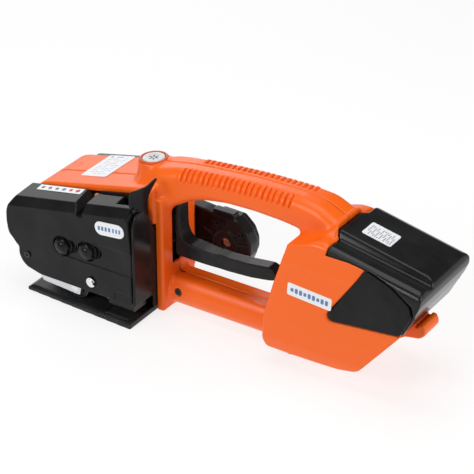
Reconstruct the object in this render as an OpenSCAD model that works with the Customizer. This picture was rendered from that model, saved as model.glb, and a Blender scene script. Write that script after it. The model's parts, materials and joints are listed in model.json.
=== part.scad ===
// Battery strapping tool: head with sealing and tensioning gear at -X, handle and battery at +X.
// X = 0 is the middle of the sole, Y = 0 the plane in which the two housing halves meet,
// and Z = 0 the underside of the sole. The strap enters from the -Y side.

/* [Sole] */
// Front end of the sole plate
base_front = -53; // [-60:0.5:-50]
// Rear end of the sole plate
base_rear = 49; // [46:0.5:50]
// Thickness of the sole plate
base_t = 4.5; // [4.3:0.1:4.6]

/* [Head] */
// Plane of the near cover's outer face
cover_y = -52; // [-52.5:0.1:-51.5]
// Wall thickness of the near cover
cover_t = 3; // [2.6:0.1:3.2]
// Rise of the head's top towards the handle, in degrees
top_slope = 13; // [12:0.5:14]
// Radius of the knurled tension wheel
wheel_r = 10.4; // [10:0.1:10.5]
// Width of the tension wheel
wheel_w = 12.4; // [10:0.2:12.6]
// Distance from the rocker's pivot to the wheel's axis, set by the gear pair
gear_gap = 22.8; // [22.8:0.1:22.8]
// Throw of the weld eccentric
weld_throw = 0.8; // [0.4:0.1:1]

/* [Handle and lever] */
// Half width of the handle
grip_hw = 16; // [15:0.5:17]
// Wall thickness of the moulded housing
wall = 2.6; // [2.2:0.1:2.8]
// Outer radius of the motor barrel
barrel_r = 15; // [14.6:0.1:15.2]
// Width of the operating lever
lever_w = 14; // [12:0.5:14.5]
// Radius of the push button
button_r = 8.8; // [8:0.1:8.9]

/* [Battery] */
// Half width of the battery cradle
cradle_hw = 38; // [38:0.1:38.5]
// Length of the battery pack along its slide
pack_l = 83; // [83:0.5:84]
// Depth of the battery pack
pack_d = 44; // [44:0.1:44.2]
// Downward slope of the battery's slide, in degrees
pack_slope = 12; // [11.5:0.1:12.5]
// Radius of one cell
cell_r = 9.05; // [9:0.05:9.1]

/* [Hidden] */
$fn = 48;

ORANGE = "darkorange";
BLACK = [0.08, 0.08, 0.09];
STEEL = "silver";
eps = 0.05;
run = 0.05;                      // radial clearance of a running fit

// Axes that run along Y, as [x, z]
PIVOT = [11, 28];                // rocker pivot and drive gear
mesh_angle = 34;                 // slope of the line from the wheel up to the pivot
WHEEL = [PIVOT[0] - gear_gap * cos(mesh_angle), PIVOT[1] - gear_gap * sin(mesh_angle)];
ECC = [36, 38];                  // weld eccentric
WELD_MOTOR = [77, 41];
LEVER = [46.5, 71];              // operating lever pivot
LATCH = [255, 44.6];             // battery latch pivot
NUTS = [[-16, 51], [7, 53.3]];   // nuts on the near cover
SIDE_SCREW = [-50, 33];          // small screw at the cover's front edge
barrel_z = 16.5;

// Gears: module, tooth counts
gear_m = 0.8;
wheel_teeth = 20;
drive_teeth = 37;

// Head top, measured from a point on its front edge
TOP0 = [-60, 82];
function head_z(x) = TOP0[1] + (x - TOP0[0]) * tan(top_slope);

// Battery slide frame: origin at the front end of the pack's top
PACK0 = [205, 117.5];
function pack_pt(u, w) = [PACK0[0] + u * cos(pack_slope) + w * sin(pack_slope),
                          PACK0[1] - u * sin(pack_slope) + w * cos(pack_slope)];

// ---------- helpers ----------
module plate_y(y0, y1) translate([0, y1, 0]) rotate([90, 0, 0]) linear_extrude(y1 - y0) children();
module plate_x(x0, x1) translate([x0, 0, 0]) rotate([90, 0, 90]) linear_extrude(x1 - x0) children();
module plate_z(z0, z1) translate([0, 0, z0]) linear_extrude(z1 - z0) children();
module rod_y(at, y0, y1, r) translate([at[0], y0, at[1]]) rotate([-90, 0, 0]) cylinder(h = y1 - y0, r = r);
module rod_x(z, x0, x1, r) translate([x0, 0, z]) rotate([0, 90, 0]) cylinder(h = x1 - x0, r = r);
module block(lo, hi) translate(lo) cube(hi - lo);
module on_pack() translate([PACK0[0], 0, PACK0[1]]) rotate([0, pack_slope, 0]) children();
module on_top(x, y, lift = 0) translate([x, y, head_z(x) + lift]) rotate([0, -top_slope, 0]) children();

module outline(points, inset = 0) {
  if (inset == 0) polygon(points);
  else offset(delta = -inset) polygon(points);
}

// Round tube swept along a list of points
function unit(v) = v / norm(v);
function tangent(p, i) = unit(p[min(i + 1, len(p) - 1)] - p[max(i - 1, 0)]);
module tube(path, r, up = [0, 1, 0.01], sides = 8) {
  rings = [for (i = [0:len(path) - 1])
    let (t = tangent(path, i), a = unit(cross(t, up)), b = cross(a, t))
    for (k = [0:sides - 1]) path[i] + r * (cos(k * 360 / sides) * a + sin(k * 360 / sides) * b)];
  last = (len(path) - 1) * sides;
  polyhedron(rings, concat(
    [[for (k = [0:sides - 1]) k]],
    [[for (k = [sides - 1:-1:0]) last + k]],
    [for (i = [0:len(path) - 2], k = [0:sides - 1])
      [i * sides + (k + 1) % sides, i * sides + k, (i + 1) * sides + k, (i + 1) * sides + (k + 1) % sides]]));
}
function coil(turns, r, pitch, steps = 14) =
  [for (i = [0:turns * steps]) let (a = 360 * i / steps) [r * cos(a), r * sin(a), pitch * i / steps]];

// Spur gear with straight-sided teeth; a tooth points along +X
module spur(teeth, h, bore) {
  root_r = teeth * gear_m / 2 - gear_m;
  tip_r = teeth * gear_m / 2 + 0.85 * gear_m;
  difference() {
    linear_extrude(h) union() {
      circle(r = root_r);
      for (i = [0:teeth - 1]) rotate(i * 360 / teeth)
        polygon([[root_r - 0.4, -0.9], [tip_r, -0.27], [tip_r, 0.27], [root_r - 0.4, 0.9]]);
    }
    translate([0, 0, -1]) cylinder(h = h + 2, r = bore);
  }
}
module screw_y(at, y_head, y_tip, r, head_r, head_h) {
  dir = y_tip > y_head ? 1 : -1;
  difference() {
    union() {
      rod_y(at, min(y_head, y_head + dir * head_h), max(y_head, y_head + dir * head_h), head_r);
      rod_y(at, min(y_head, y_tip), max(y_head, y_tip), r);
    }
    translate([at[0], y_head, at[1]]) rotate([-90, 0, 0])
      cylinder(h = head_h * 1.2, r = head_r * 0.5, center = true, $fn = 6);
  }
}

// ---------- sole ----------
SOLE = [[base_front, -51], [base_rear, -56], [base_rear, 28], [base_front, 26]];
module base_plate() color(BLACK) difference() {
  plate_z(0, base_t) polygon(SOLE);
  // bevels along the near edge and the front edge
  translate([0, -53.6, base_t]) rotate([0, 0, -2.8]) rotate([32, 0, 0]) translate([-150, -6, 0]) cube([300, 6, 4]);
  translate([base_front, 0, base_t - 1.6]) rotate([0, -40, 0]) translate([-6, -80, 0]) cube([16, 160, 4]);
  // seats of the anvil and of the lower tooth plate
  block([WHEEL[0] - 11, -49, base_t - 2.5], [WHEEL[0] + 11, -29, base_t + 1]);
  block([22, -49, base_t - 2.5], [46, -29, base_t + 1]);
}
module tension_anvil() color(STEEL) difference() {
  block([WHEEL[0] - 11, -49, base_t - 2.5], [WHEEL[0] + 11, -29, base_t + 0.05]);
  for (i = [0:8]) translate([WHEEL[0] - 8 + 2 * i, -39, base_t + 0.3]) rotate([0, 45, 0])
    cube([0.6, 30, 0.6], center = true);
}
function teeth_top(x0, n, pitch, z, h) =
  [for (i = [0:n - 1]) each [[x0 + i * pitch, z], [x0 + (i + 0.5) * pitch, z + h]]];
module lower_tooth_plate() color(STEEL) plate_y(-49, -29)
  polygon(concat([[46, base_t - 2.5], [22, base_t - 2.5]],
    teeth_top(22, 12, 2, base_t - 0.6, 0.6), [[46, base_t - 0.6]]));

// ---------- head frame ----------
FRAME = [[-54, base_t], [48.5, base_t], [48.5, 50], [36, 56], [36, 78], [-54, 62]];
module head_frame() color([0.16, 0.16, 0.17]) difference() {
  plate_y(-18, 29) polygon(FRAME);
  difference() {                                          // the cavity of the casting
    plate_y(-14, 25) polygon([[-50, base_t + 4], [60, base_t + 4], [60, 46], [32, 52], [32, 73], [-50, 58]]);
    rod_y(ECC, -14, -8, 12);                              // bearing bosses
    rod_y(ECC, 19, 25, 12);
  }
  rod_y(PIVOT, -19, -13, 7.5);                            // drive hub
  rod_y(ECC, -19, 30, 8);                                 // eccentric bearings
}
// Pillars that carry the near cover: one under each nut, and one for the side screw
module cover_posts() color([0.2, 0.2, 0.21]) {
  for (n = NUTS) difference() {
    rod_y(n, -46, -18, 5);
    rod_y(n, -47, -30, 2.5);
  }
  difference() {
    rod_y(SIDE_SCREW, -48.8, -18, 3.4);
    rod_y(SIDE_SCREW, -49, -40, 1.3);
  }
}
module cutter_guide() color([0.2, 0.2, 0.21]) difference() {
  block([14, -44, 47], [25, -18, 51]);
  block([18.2, -43.4, 46], [20.4, -30.6, 52]);
}
module rear_flange() color(BLACK) plate_x(48.5, 50.7)
  polygon([[-50.5, 17], [-50.5, 86], [-46, 95], [-37, 95.5], [-30, 87.5], [-24.2, 76.3], [-20.5, 66],
    [-19.5, 60.6], [-16.5, 60.6], [-16.5, base_t], [-26, base_t], [-26, 17]]);

// ---------- near cover ----------
COVER = [[-60, 112], [-62.5, 82], [-67, 74], [-69.6, 66.5], [-70, 58], [-69, 50], [-67.8, 46.4], [-65, 43.7],
  [-61, 39.2], [-59, 37.6], [-59, 31], [-56.4, 25.4], [-52, 21.6], [-39, 18.3], [48, 18.3], [48, 67],
  [46.4, 89], [46.4, 112]];
cover_top0 = [-59.5, 78.5];
cover_slope = 10.9;
module cover_volume(inset) intersection() {
  plate_y(cover_y + inset, -24.6 + (inset > 0 ? 1 : 0)) outline(COVER, inset);
  translate([cover_top0[0], 0, cover_top0[1]]) rotate([0, -cover_slope, 0]) plate_x(-60, 160)
    polygon([[-60, -150], [-52 + inset * 0.4, -150], [-52 + inset * 0.4, -5 - inset], [-44 + inset * 0.3, -inset],
      [-20, 3 - inset], [-20, -150]]);
}
// Groove across the cover's top, channel beside the housing, and notch at the rear corner
module cover_grooves(grow) translate([cover_top0[0], 0, cover_top0[1]]) rotate([0, -cover_slope, 0]) {
  plate_y(-53, -24) offset(delta = grow)
    polygon([[51.4, 5], [51.4, 2.6], [58.4, -5.3], [58.8, -8.5], [64, -8.5], [64, 5]]);
  block([61, -29.6 - grow, -8.5 - grow], [120, -24, 8]);
  block([89.6 - grow, -39.8 - grow, -5 - grow], [120, -24, 8]);
}
module front_cover() color(BLACK) difference() {
  union() {
    difference() {
      cover_volume(0);
      difference() {
        cover_volume(cover_t);
        cover_grooves(2.4);
      }
      block([-46, -49, 8], [48 - cover_t, -20, 24]);       // open underneath
      block([44, -39.2, 25], [49, -28.8, 51]);             // window beside the weld ring
    }
    intersection() {                                        // backs of the nut recesses
      union() for (n = NUTS) rod_y(n, -50, -46, 11);
      cover_volume(0.4);
    }
  }
  for (n = NUTS) {
    rod_y(n, -53, -48.6, 8.6);
    rod_y(n, -53, -44, 3);
  }
  // stepped band to the rear of the nuts, and the shallow step under it
  plate_y(-53, -50.7) polygon([[-16, 43.3], [49, 43.3], [49, 62.7], [16, 62.7], [8, 60], [-4, 54]]);
  plate_y(-53, -51.2) polygon([[30, 16], [49, 16], [49, 26.8], [33, 26.8]]);
  cover_grooves(0);
  rod_y(PIVOT, -53, -48, 2.9);                              // rocker pin
  rod_y(SIDE_SCREW, -53, -48, 1.6);
}
module cover_nuts() color(BLACK) for (n = NUTS) difference() {
  union() {
    translate([n[0], -48.6, n[1]]) rotate([90, 12, 0]) cylinder(h = 5.4, r = 7.2, $fn = 6);
    translate([n[0], -54, n[1]]) rotate([90, 0, 0]) cylinder(h = 1.8, r1 = 6, r2 = 3.6);
    rod_y(n, -48.7, -31, 2.4);
  }
}
// Adjusting screw that stands in the groove
module cover_screw() color(STEEL) translate([1.3, -27, 87.4]) difference() {
  union() {
    cylinder(h = 2.4, r = 2.5);
    translate([0, 0, -5.5]) cylinder(h = 6, r = 1.5);
  }
  translate([0, 0, 1.4]) cylinder(h = 2, r = 1.3, $fn = 6);
}
module side_screw() color(STEEL) screw_y(SIDE_SCREW, -53.2, -41, 1.25, 2.6, 1.2);
module strap_guard() color(BLACK) union() {
  difference() {
    translate([44.6, -45.5, 0]) rotate([0, 0, 66]) plate_y(-1, 1)
      polygon([[0, 97], [-0.4, 100], [-0.4, 111.5], [1.4, 113.6], [8, 113.9], [14.5, 115], [20, 117.6],
        [23, 118.6], [24, 117.4], [20, 113.5], [16, 108], [14.5, 103], [14, 97]]);
    block([40, -47, 90], [46.8, -37.6, 100]);             // stands clear of the cover's edge
  }
  block([46.8, -46, 95.6], [48.5, -32, 98]);
}

// ---------- rocker, tension wheel and drive ----------
CHEEK = [[-41, 17.6], [-38.5, 11.8], [-3, 9.7], [-1.6, 17.5], [6, 21.4], [12, 21], [17, 24], [18, 28], [16.4, 33],
  [11, 35], [5, 34], [-14, 27], [-37, 23.5]];
module rocker_arm() color([0.75, 0.76, 0.78]) difference() {
  union() {
    plate_y(-48.8, -45.4) polygon(CHEEK);
    plate_y(-32, -28.4) polygon(CHEEK);
    plate_y(-45.6, -31.9) polygon([[-37, 23.5], [-40.6, 17.6], [-24, 15.5], [-21, 22.5], [-12, 27.8]]);
  }
  rod_y(PIVOT, -50, -27, 2.5 + run);
  rod_y(WHEEL, -50, -27, 5);
}
module wheel_bearings() color(STEEL) for (y = [-48.8, -32]) difference() {
  rod_y(WHEEL, y, y + 3.4, 5);
  rod_y(WHEEL, y - 1, y + 5, 3 + run);
}
module rocker_pin() color(STEEL) difference() {
  rod_y(PIVOT, -54, -9, 2.5);
  difference() {                                            // clip groove
    rod_y(PIVOT, -53.4, -52.5, 4);
    rod_y(PIVOT, -53.5, -52.4, 1.9);
  }
}
module rocker_clip() color(STEEL) plate_y(-53.3, -52.6) translate(PIVOT) difference() {
  circle(r = 4);
  circle(r = 1.95);
  translate([0, 0]) rotate(-25) square([6, 2.6], center = false);
}
module tension_wheel() color([0.5, 0.5, 0.52]) difference() {
  plate_y(-38.7 - wheel_w / 2, -38.7 + wheel_w / 2) translate(WHEEL)
    polygon([for (i = [0:95]) let (r = wheel_r - (i % 2) * 0.35) [r * cos(i * 3.75), r * sin(i * 3.75)]]);
  rod_y(WHEEL, -50, -20, 3);
}
module wheel_shaft() color(STEEL) rod_y(WHEEL, -48.9, -19.4, 3);
module wheel_gear() color([0.55, 0.55, 0.57]) translate([WHEEL[0], -20.4, WHEEL[1]])
  rotate([90, 0, 0]) rotate(mesh_angle) spur(wheel_teeth, 6, 3);
module drive_gear() color([0.55, 0.55, 0.57]) union() {
  translate([PIVOT[0], -20.4, PIVOT[1]]) rotate([90, 0, 0])
    rotate(mesh_angle + 180 + 180 / drive_teeth) spur(drive_teeth, 6, 2.5 + run);
  difference() {
    rod_y(PIVOT, -20.5, -14.3, 6.6);
    rod_y(PIVOT, -21, -13, 2.5 + run);
  }
}
module drive_gearbox() color([0.6, 0.6, 0.62]) difference() {
  union() {
    block([-5, -14, 9], [23.7, 14, 42]);
    rod_x(barrel_z, 23, 62, 7.4);
    flatted(62, 66);
  }
  rod_x(barrel_z, 30, 67, 2.2 + run);
  rod_y(PIVOT, -15, -8.9, 2.52);
}
module flatted(x0, x1, r = 12.3) intersection() {
  rod_x(barrel_z, x0, x1, r);
  block([x0 - 1, -20, barrel_z - 9.3], [x1 + 1, 20, barrel_z + 9.3]);
}
module tension_motor() color([0.3, 0.3, 0.32]) difference() {
  union() {
    flatted(66, 128);
    rod_x(barrel_z, 128, 136, 9);
    for (y = [-6, 6]) block([135.9, y - 2, barrel_z - 0.4], [141, y + 2, barrel_z + 0.4]);
  }
  rod_x(barrel_z, 70, 124, 8.3);
  rod_x(barrel_z, 65, 134.6, 2.2 + run);
}
module motor_shaft() color(STEEL) union() {
  rod_x(barrel_z, 31, 134, 2.2);
  difference() {                                            // slotted armature
    rod_x(barrel_z, 74, 114, 7.8);
    for (i = [0:8]) translate([94, 0, barrel_z]) rotate([40 * i, 0, 0]) translate([0, 0, 7]) cube([41, 1.2, 3.4], center = true);
  }
  rod_x(barrel_z, 116, 122, 4.6);                           // commutator
}

// ---------- weld head ----------
module weld_gripper() color([0.62, 0.62, 0.64]) difference() {
  union() {
    plate_y(-48.6, -29.6) polygon(concat([[22, 16], [22, 9.8]],
      [for (i = [0:11]) each [[22.5 + 2 * i, 9.8], [23.5 + 2 * i, 9]]], [[46, 9.8], [46, 16]]));
    block([31, -38, 15.8], [41, -30, 30]);
    rod_y(ECC, -38, -30, 10.5);
  }
  rod_y(ECC, -39, -29, 8);
}
module eccentric_shaft() color(STEEL) union() {
  rod_y([ECC[0], ECC[1] + weld_throw], -38.6, -27.9, 6);
  rod_y(ECC, -28, 40.6, 4);
}
module eccentric_bearings() color([0.7, 0.7, 0.72]) for (y = [-17, 20]) difference() {
  rod_y(ECC, y, y + 7, 8);
  rod_y(ECC, y - 1, y + 8, 4 + run);
}
module toothed_pulley(at, r, teeth, bore) difference() {
  plate_y(35.9, 40.1) translate(at)
    polygon([for (i = [0:4 * teeth - 1]) let (q = r - (i % 4 < 2 ? 0 : 0.6), a = i * 90 / teeth) [q * cos(a), q * sin(a)]]);
  rod_y(at, 30, 50, bore);
}
module eccentric_pulley() color([0.55, 0.55, 0.57]) toothed_pulley(ECC, 10, 30, 4);
module motor_pulley() color([0.55, 0.55, 0.57]) toothed_pulley(WELD_MOTOR, 6, 18, 2.5);
module belt_line(grow) hull() {
  translate(ECC) circle(r = 10 + grow);
  translate(WELD_MOTOR) circle(r = 6 + grow);
}
module drive_belt() color(BLACK) plate_y(36.2, 39.8) difference() {
  belt_line(1.7);
  belt_line(0.3);
}
module weld_motor_stator() color([0.5, 0.35, 0.15]) difference() {
  union() {
    rod_y(WELD_MOTOR, 40.7, 42.1, 17);
    plate_y(42, 46.8) translate(WELD_MOTOR) union() {
      circle(r = 7);
      for (i = [0:8]) rotate(i * 40) {
        translate([6, -1.5]) square([8, 3]);
        translate([12.4, -3.6]) square([1.6, 7.2]);
      }
    }
  }
  rod_y(WELD_MOTOR, 40, 60, 2.5 + run);
}
module weld_motor_rotor() color(STEEL) union() {
  difference() {
    rod_y(WELD_MOTOR, 42.7, 48.4, 17);
    rod_y(WELD_MOTOR, 42, 47.2, 14.8);
    for (i = [0:5]) rotate_about(WELD_MOTOR, i * 60) rod_y([WELD_MOTOR[0] + 9, WELD_MOTOR[1]], 46, 49, 2.6);
  }
  rod_y(WELD_MOTOR, 35.2, 47.6, 2.5);
}
module rotate_about(at, a) translate([at[0], 0, at[1]]) rotate([0, a, 0]) translate([-at[0], 0, -at[1]]) children();

CASE = [[-56, 26], [-57, 70], [-50, 80], [0, 91.5], [12, 90], [44, 68], [58, 67], [66, 66], [88, 65.5], [97, 57],
  [101, 47], [101, 38], [97, 28], [88, 19.5], [66, 18], [56, 22], [48, 20], [10, 14], [-46, 16]];
MOTOR_CAP = [[66, 64], [86, 63.6], [94.6, 56], [98.4, 47], [98.4, 38], [94.6, 29], [86, 21.4], [68, 20],
  [59.4, 27], [56, 36], [56, 47], [59.6, 57]];
module drive_case() color(BLACK) difference() {
  union() {
    difference() {
      plate_y(32.1, 43.6) polygon(CASE);
      plate_y(35.4, 41.8) outline(CASE, 2.2);
      plate_y(31, 33.8) outline(CASE, 2.4);
    }
    plate_y(41.4, 50.4) polygon(MOTOR_CAP);
    // ribs and screw bosses on the side that faces the handle
    plate_y(32.6, 34.6) intersection() {
      outline(CASE, 1);
      translate(WELD_MOTOR) union() {
        for (i = [0:7]) rotate(i * 45 + 12) translate([9, -0.7]) square([20, 1.4]);
        difference() {
          circle(r = 12);
          circle(r = 10.4);
        }
        for (i = [0:2]) rotate(i * 120 + 40) translate([17.4, 0]) circle(r = 3.2);
      }
    }
    block([66, 32.1, 65], [86, 40, 69.5]);
  }
  rod_y(WELD_MOTOR, 40.3, 48.9, 18);
  rod_y(WELD_MOTOR, 30, 37, 4);
  rod_y(ECC, 30, 37, 9);
}
CASE_SCREWS = [[-50, 24], [-50, 72], [4, 84], [46, 62], [46, 25], [4, 19.5]];
module drive_case_screws() color(STEEL)
  for (s = CASE_SCREWS) screw_y(s, 45, 43.6, 1.4, 2.7, 1.4);
module cutter_blade() color(STEEL) union() {
  plate_x(18.6, 20) polygon([[-42.8, 11.5], [-37, 9.2], [-31.2, 11.5], [-31.2, 56.8], [-42.8, 56.8]]);
  block([17.6, -42.8, 53.8], [21, -31.2, 56.8]);
}

// ---------- moulded housing ----------
// Sections of the handle: x, lower edge, upper edge, half width
GRIP = [[36, 92, 113, 15], [47, 90, 119.6, 17.6], [57, 88, 121.8, 17.6], [65, 92, 123.4, 17], [74, 97.6, 124.8, 16.4],
  [88, 102.4, 126.2, grip_hw], [108, 105.8, 127.6, grip_hw], [132, 106.6, 129.4, grip_hw],
  [155, 105.6, 130.4, grip_hw], [172, 104, 130.8, 16.6], [188, 100, 129.6, 18.4], [204, 96, 122.4, 21]];
corner_a = [0, 30, 60, 90];
function grip_ring(s, inset) =
  let (w = s[3] - 8, lo = s[1] + 8, hi = s[2] - 8, r = 8 - inset,
       mid = [[w, hi], [-w, hi], [-w, lo], [w, lo]])
  [for (q = [0:3], a = corner_a) [s[0], mid[q][0] + r * cos(a + 90 * q), mid[q][1] + r * sin(a + 90 * q)]];
module loft(rings) {
  n = len(rings[0]);
  last = n * (len(rings) - 1);
  polyhedron([for (r = rings) each r], concat(
    [[for (k = [0:n - 1]) k]],
    [[for (k = [n - 1:-1:0]) last + k]],
    [for (i = [0:len(rings) - 2], k = [0:n - 1]) [i * n + (k + 1) % n, i * n + k, (i + 1) * n + k]],
    [for (i = [0:len(rings) - 2], k = [0:n - 1])
      [(i + 1) * n + (k + 1) % n, i * n + (k + 1) % n, (i + 1) * n + k]]));
}
module grip(inset) loft([for (s = GRIP) grip_ring(s, inset)]);
HEAD = [[-62.6, 20], [-63, 68], [-61.6, 75.6], [-57, 81.4], [-50, 84.3], [51, 107.6], [51, 14], [-50, 14]];
BRACKET_END = [[-22, 0.5], [22, 0.5], [22, 90], [18, 104], [16, 116], [-16, 116], [-18, 104], [-22, 90]];
CRADLE = [[154, 18], [157, 9.5], [161, 8], [217, 12], [232, 15.4], [236, 18], [270, 60.5], [214, 54.4], [211, 56],
  [210, 60], [241.4, 103.6], [210, 110.6], [206.6, 112.5], [205, 118], [203, 122.4], [186, 128], [176, 116],
  [176, 106.4], [171, 90], [165, 72], [157, 43]];
BELL = [[0, 131], [12, 130], [17.6, 124], [20.4, 114], [30, 110], [34.6, 106], [36.4, 101], [cradle_hw, 92],
  [cradle_hw, 42], [36.4, 22], [33.4, 12], [27, 7.4], [0, 7.4]];
function mirrored(p) = concat(p, [for (i = [len(p) - 1:-1:0]) [-p[i][0], p[i][1]]]);
module cradle(inset) intersection() {
  plate_y(-60, 60) outline(CRADLE, inset);
  plate_x(140, 290) outline(mirrored(BELL), inset);
}
module barrel(inset) intersection() {
  rod_x(barrel_z, 55 + inset, 170, barrel_r - inset);
  block([50, -30, -5], [172, 30, 28.2 - inset]);
}
module head_shell(inset) {
  plate_y(-24 + inset, 32 - inset) outline(HEAD, inset);
  plate_x(44 + inset, 57 - inset) outline(BRACKET_END, inset);
}
module button_axis() translate([35, 0, 119]) rotate([0, -5, 0]) children();
module housing() difference() {
  union() {
    head_shell(0);
    grip(0);
    barrel(0);
    cradle(0);
    button_axis() translate([0, 0, -20]) cylinder(h = 19.8, r1 = 15, r2 = 12);
  }
  difference() {
    union() {
      head_shell(wall);
      grip(wall);
      barrel(wall - 0.4);
      cradle(wall);
      block([154, -10, 10], [160, 10, 27]);
      rod_x(barrel_z, 50, 62, 11);
      block([40, -14, 92], [70, 14, 112]);
    }
    button_axis() translate([0, 0, -24]) cylinder(h = 24, r = 12);
    for (s = [-1, 1]) {
      rod_y(LEVER, min(s * 9, s * 24), max(s * 9, s * 24), 5);
      rod_y(LATCH, min(s * 13, s * 19), max(s * 13, s * 19), 4);
      block([170, min(s * 24, s * 37), 6], [226, max(s * 24, s * 37), 23.9]);
    }
    on_pack() block([-4.6, -40, -60], [-1, 40, 30]);         // bulkhead in front of the pack
  }
  button_axis() translate([0, 0, -21.5]) cylinder(h = 30, r = 9.2);
  button_axis() translate([0, 0, -28]) cylinder(h = 8, r = 6.2);
  rod_y(LEVER, -18, 18, 2.5);
  rod_y(LATCH, -16, 16, 1.5);
  plate_y(-30, 29.3) offset(delta = 0.3) polygon(FRAME);    // room for the head frame
  rod_y(ECC, 28, 33, 9);
  block([-80, -30, -10], [51, -17, 92]);
  block([30, -40, -2], [base_rear + 0.3, 40, base_t + 0.3]); // rear edge of the sole
  translate([-80, -30, head_z(-80) - 15]) rotate([0, -top_slope, 0]) translate([0, 0, -60]) cube([123, 30.2, 60]);
  block([40, -8.4, 38], [62, 8.4, 100]);                    // lever slot
  // battery bay, open to the rear and above
  on_pack() block([-16.1, -17.9, -30.9], [1, 17.9, -8.1]);
  on_pack() block([-1, -cradle_hw + wall, -pack_d - 4.6], [110, cradle_hw - wall, 14]);
  on_pack() block([-1, -60, -6.4], [110, 60, 14]);
  // latch window
  block([246, -13, 36], [275, 13, 56]);
  // seats of the barrel screw and of the feet
  rod_y([65, 17.5], -30, -13.4, 3.2);
  for (f = FEET) translate([f[0], f[1], -1]) cylinder(h = 10.6, r = 6.1);
}
module housing_left() color(ORANGE) difference() {
  housing();
  block([-90, 0, -20], [300, 80, 160]);
}
module housing_right() color(ORANGE) difference() {
  housing();
  block([-90, -80, -20], [300, 0, 160]);
}
HOUSING_SCREWS = [[168, 50], [226, 44], [188, 84]];
module housing_screws() color(STEEL) {
  for (s = HOUSING_SCREWS) screw_y(s, 39.4, 38, 1.5, 3, 1.4);
  screw_y([65, 17.5], -14.3, -13.4, 1.4, 2.8, 0.9);
}
FEET = [[168, -13], [168, 13]];
module rear_feet() color(BLACK) for (f = FEET) translate([f[0], f[1], 0]) union() {
  cylinder(h = 1, r1 = 5.2, r2 = 6);
  translate([0, 0, 1]) cylinder(h = 8.6, r = 6);
}

// ---------- button and lever ----------
module button_bezel() color([0.75, 0.35, 0.1]) button_axis() difference() {
  translate([0, 0, -0.2]) cylinder(h = 1.2, r1 = 11.6, r2 = 10.8);
  translate([0, 0, -2]) cylinder(h = 6, r = button_r + 0.4);
}
module push_button() color([0.85, 0.86, 0.88]) button_axis() union() {
  translate([0, 0, -5]) cylinder(h = 5.6, r = button_r);
  translate([0, 0, 0.6]) cylinder(h = 0.5, r1 = button_r, r2 = button_r - 0.6);
  translate([0, 0, -13]) cylinder(h = 8.2, r = 2.6);
}
module button_switch() color(BLACK) button_axis() difference() {
  union() {
    translate([0, 0, -21.4]) cylinder(h = 5.4, r = 9.1);
    translate([0, 0, -27]) cylinder(h = 6, r = 6);
  }
  translate([0, 0, -19]) cylinder(h = 4, r = 3);
}
module button_spring() color(STEEL) button_axis() translate([0, 0, -15.6])
  tube(coil(5, 5, 2, 14), 0.4, [0, 0, 1], 6);
// Side outline of the operating lever
LEVER_BAR = [[58, 45], [76, 44.8], [104, 44.6], [126, 46], [142, 48.6], [147.4, 50.4], [148.6, 54], [146, 58],
  [140, 59], [122, 56.6], [104, 55.6], [84, 56], [70, 57.4], [65, 60], [62.6, 65], [61.8, 72], [61.6, 90],
  [60.6, 95.6], [58, 96]];
module operating_lever() color([0.13, 0.13, 0.14]) difference() {
  union() {
    plate_y(-lever_w / 2, lever_w / 2) polygon(LEVER_BAR);
    plate_y(-5, 5) polygon([[44, 65.6], [58.2, 62], [58.2, 80], [44, 76.4]]);
    rod_y(LEVER, -5, 5, 6);
  }
  rod_y(LEVER, -9, 9, 2.5 + run);
  plate_y(-lever_w / 2 + 2.4, lever_w / 2 - 2.4) polygon([[64, 42], [136, 42], [136, 50.4], [120, 53.4],
    [84, 53], [68, 54.6], [64, 54]]);
}
module lever_pin() color(STEEL) rod_y(LEVER, -18, 18, 2.5);
module lever_spring() color(STEEL) translate([LEVER[0], 5.6, LEVER[1]]) rotate([-90, 0, 0])
  tube(coil(3, 4, 0.95, 16), 0.35, [0, 0, 1], 6);
module control_panel() color([0.9, 0.92, 0.94]) on_top(-28.5, -9, 0) plate_z(0.02, 0.5)
  offset(r = 1.5, $fn = 24) translate([1.5, 1.5]) square([22, 36.4]);

// ---------- battery end ----------
module control_board() color("green") union() {
  block([168, -27, 24], [228, 27, 25.6]);
  for (i = [0:3]) block([174 + 12 * i, -20, 25.5], [182 + 12 * i, -8, 31]);
  for (y = [2, 16]) translate([188, y + 4, 25.5]) cylinder(h = 12, r = 5);
  block([206, 2, 25.5], [222, 20, 28]);
}
module terminal_block() color(BLACK) on_pack() difference() {
  block([-16, -17.8, -30.8], [-1.2, 17.8, -8.2]);
  difference() {
    block([-9.2, -14.3, -28.3], [0, 14.3, -10.7]);
    for (y = [-10, 6]) block([-9.4, y + 1.2, -22], [-3, y + 2.8, -17]);
  }
}
PANEL = [pack_pt(38, -6.9), pack_pt(50, -7.7), pack_pt(61, -9.1), pack_pt(70, -11.6), pack_pt(76, -14.8),
  pack_pt(79.4, -23), [269.6, 61], [214, 55], [211.6, 56.6], [210.8, 60]];
module tray_floor(hw) on_pack() block([12.5, -hw, -pack_d - 2.2], [71, hw, -pack_d - 0.4]);
module battery_tray() color(BLACK) {
  for (s = [-1, 1]) plate_y(s > 0 ? 35.45 : -cradle_hw, s > 0 ? cradle_hw : -35.45)
    offset(delta = -0.2) polygon(PANEL);
  difference() {
    union() {
      tray_floor(35.2);
      intersection() {
        tray_floor(36);
        plate_y(-40, 40) offset(delta = -0.2) polygon(PANEL);
      }
    }
    on_pack() block([55, -13.6, -pack_d - 4], [80, 13.6, -pack_d + 1]);
  }
}
PACK_SIDE = [[0, -2], [2, 0.5], [74, 0.5], [79.4, -1.6], [82.4, -6], [pack_l, -12], [81, -23], [75.6, -42.6],
  [73, -pack_d], [3, -pack_d], [0, -42]];
PACK_END = [[0, 0], [14.4, 0], [16, -0.8], [18.6, -3.9], [20.6, -4.2], [23, -3.2], [27, -1.7], [32, -2.2], [35.6, -4],
  [37.4, -6.6], [38, -10], [38, -pack_d], [0, -pack_d]];
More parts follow.
